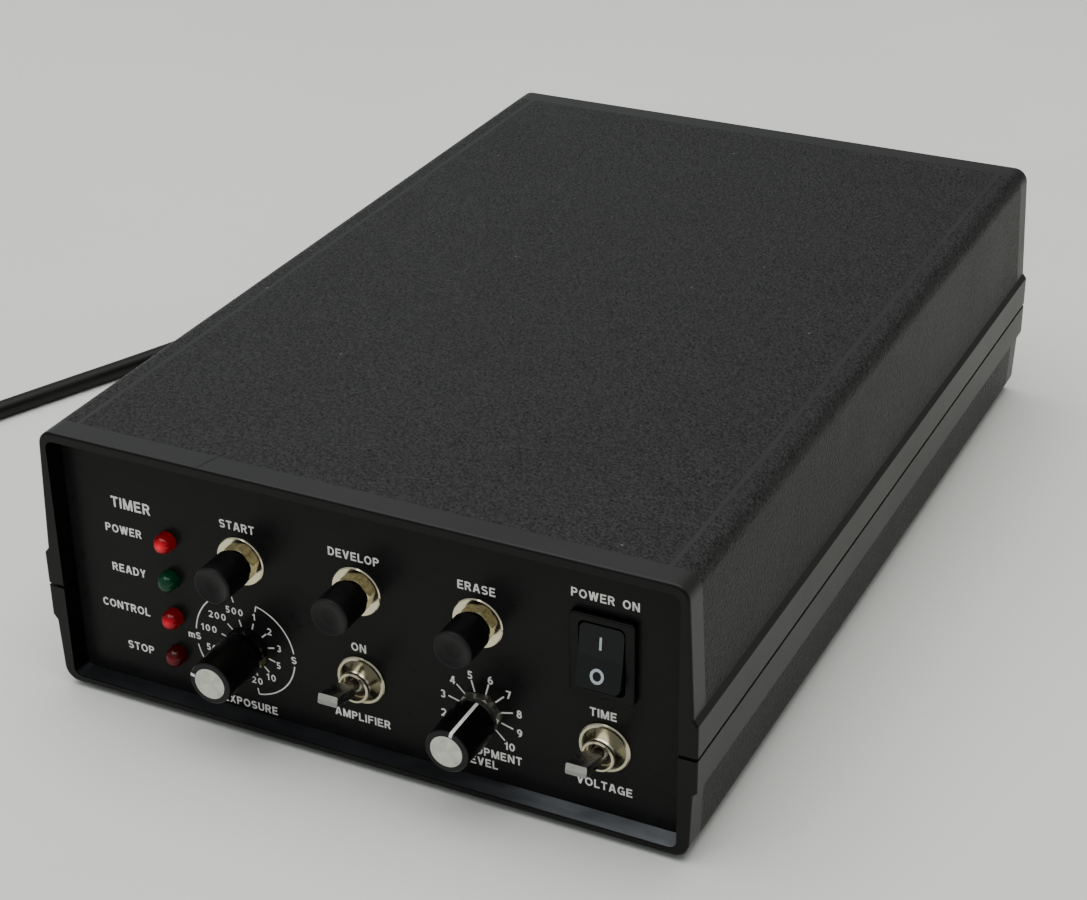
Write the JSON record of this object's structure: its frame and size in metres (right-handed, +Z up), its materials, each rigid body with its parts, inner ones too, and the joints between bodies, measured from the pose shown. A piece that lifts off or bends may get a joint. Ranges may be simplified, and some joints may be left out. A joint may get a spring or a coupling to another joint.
{
  "type": "enlarger timer",
  "caption": "Bench exposure timer in a black two-part plastic case with a control panel of push-buttons, toggles, a rocker, knobs and indicator lamps, and a mains lead",
  "frame": {"origin": "middle of the footprint, on the table plane under the rubber feet", "axes": "+Z up, the control panel faces -Y, +X to the right of a person facing the panel"},
  "size_m": [0.4549, 0.3979, 0.0734],
  "materials": {
    "case_plastic": "fine leather-grain moulding with smooth bands",
    "rubber_black": "matt",
    "screw_steel": "zinc plated",
    "panel_black": "satin black anodised aluminium with white print",
    "lens_red_lit": "lit red epoxy",
    "lens_red_dark": "unlit red epoxy",
    "lens_green": "unlit green epoxy",
    "clip_black": "satin",
    "cap_black": "satin",
    "nickel": "polished nickel plate",
    "lever_chrome": "polished with a satin tip",
    "switch_housing": "moulded phenolic",
    "spring_steel": "bright wire",
    "rocker_black": "fine satin",
    "knob_black": "gloss with a white line",
    "cap_disc": "spun satin",
    "shaft_brass": "turned",
    "board_laminate": "green solder mask",
    "chip_black": "moulded epoxy",
    "can_sleeve": "blue shrink sleeve",
    "relay_case": "moulded",
    "black_anodised": "black anodised",
    "lamination": "stacked and varnished",
    "winding": "yellow tape over enamelled wire",
    "bracket_steel": "zinc plated strap",
    "wire_pvc": "brown, blue and green insulation",
    "rear_black": "moulded",
    "fuse_glass": "clear tube with nickel ends",
    "socket_black": "moulded",
    "socket_nickel": "nickel plate",
    "cord_pvc": "extruded PVC"
  },
  "bodies": {
    "case": {"top_cover": "case_plastic", "bottom_cover": "case_plastic", "feet": "rubber_black", "case_screws": "screw_steel", "front_panel": "panel_black", "rear_panel": "panel_black", "power_led": "lens_red_lit", "ready_led": "lens_green", "control_led": "lens_red_lit", "stop_led": "lens_red_dark", "led_clips": "clip_black", "start_switch": "switch_housing", "develop_switch": "switch_housing", "erase_switch": "switch_housing", "start_spring": "spring_steel", "develop_spring": "spring_steel", "erase_spring": "spring_steel", "button_nuts": "nickel", "button_washers": "nickel", "amplifier_switch": "switch_housing", "mode_switch": "switch_housing", "dress_nuts": "nickel", "toggle_back_nuts": "nickel", "rocker_housing": "rocker_black", "exposure_selector": "switch_housing", "level_potentiometer": "bracket_steel", "knob_nuts": "nickel", "circuit_board": "board_laminate", "inner_screws": "screw_steel", "integrated_circuits": "chip_black", "smoothing_capacitors": "can_sleeve", "relay": "relay_case", "heat_sink": "black_anodised", "regulator": "chip_black", "transformer_core": "lamination", "transformer_coil": "winding", "transformer_bracket": "bracket_steel", "wiring": "wire_pvc", "fuse_holder": "rear_black", "lamp_outlet": "socket_black", "signal_socket": "socket_nickel", "rear_screws": "screw_steel", "strain_relief": "cord_pvc", "mains_lead": "cord_pvc", "mains_lead_coil": "cord_pvc", "mains_plug": "cord_pvc"},
    "start_button": {"start_button": "cap_black"},
    "develop_button": {"develop_button": "cap_black"},
    "erase_button": {"erase_button": "cap_black"},
    "amplifier_lever": {"amplifier_lever": "lever_chrome"},
    "mode_lever": {"mode_lever": "lever_chrome"},
    "power_rocker": {"power_rocker": "rocker_black"},
    "exposure_knob": {"exposure_knob": "knob_black", "exposure_knob_cap": "cap_disc", "exposure_shaft": "shaft_brass"},
    "level_knob": {"level_knob": "knob_black", "level_knob_cap": "cap_disc", "level_shaft": "shaft_brass"},
    "fuse_cap": {"fuse_cap": "rear_black", "fuse_link": "fuse_glass"}
  },
  "joints": [
    {"name": "start_press", "type": "slide", "parent": "case", "child": "start_button", "axis": [0, 1, 0], "range_m": [0, 0.0013], "stiffness_N_per_m": 600, "springref_m": -0.0025, "deforming": ["start_spring"]},
    {"name": "develop_press", "type": "slide", "parent": "case", "child": "develop_button", "axis": [0, 1, 0], "range_m": [0, 0.0013], "stiffness_N_per_m": 600, "springref_m": -0.0025, "deforming": ["develop_spring"]},
    {"name": "erase_press", "type": "slide", "parent": "case", "child": "erase_button", "axis": [0, 1, 0], "range_m": [0, 0.0013], "stiffness_N_per_m": 600, "springref_m": -0.0025, "deforming": ["erase_spring"]},
    {"name": "amplifier_throw", "type": "hinge", "parent": "case", "child": "amplifier_lever", "pos_m": [-0.00065, -0.1271, 0.0226], "axis": [1, 0, 0], "range_deg": [0, 30]},
    {"name": "mode_throw", "type": "hinge", "parent": "case", "child": "mode_lever", "pos_m": [0.06295, -0.1271, 0.0226], "axis": [1, 0, 0], "range_deg": [0, 30]},
    {"name": "power_rock", "type": "hinge", "parent": "case", "child": "power_rocker", "pos_m": [0.06295, -0.1249, 0.0476], "axis": [1, 0, 0], "range_deg": [0, 20]},
    {"name": "exposure_turn", "type": "hinge", "parent": "case", "child": "exposure_knob", "pos_m": [-0.03245, -0.1305, 0.0226], "axis": [0, 1, 0], "range_deg": [-90, 240]},
    {"name": "level_turn", "type": "hinge", "parent": "case", "child": "level_knob", "pos_m": [0.03115, -0.1305, 0.0226], "axis": [0, 1, 0], "range_deg": [-150, 120]},
    {"name": "fuse_cap_turn", "type": "hinge", "parent": "case", "child": "fuse_cap", "pos_m": [-0.058, 0.1305, 0.026], "axis": [0, 1, 0], "range_deg": [0, 45]}
  ]
}
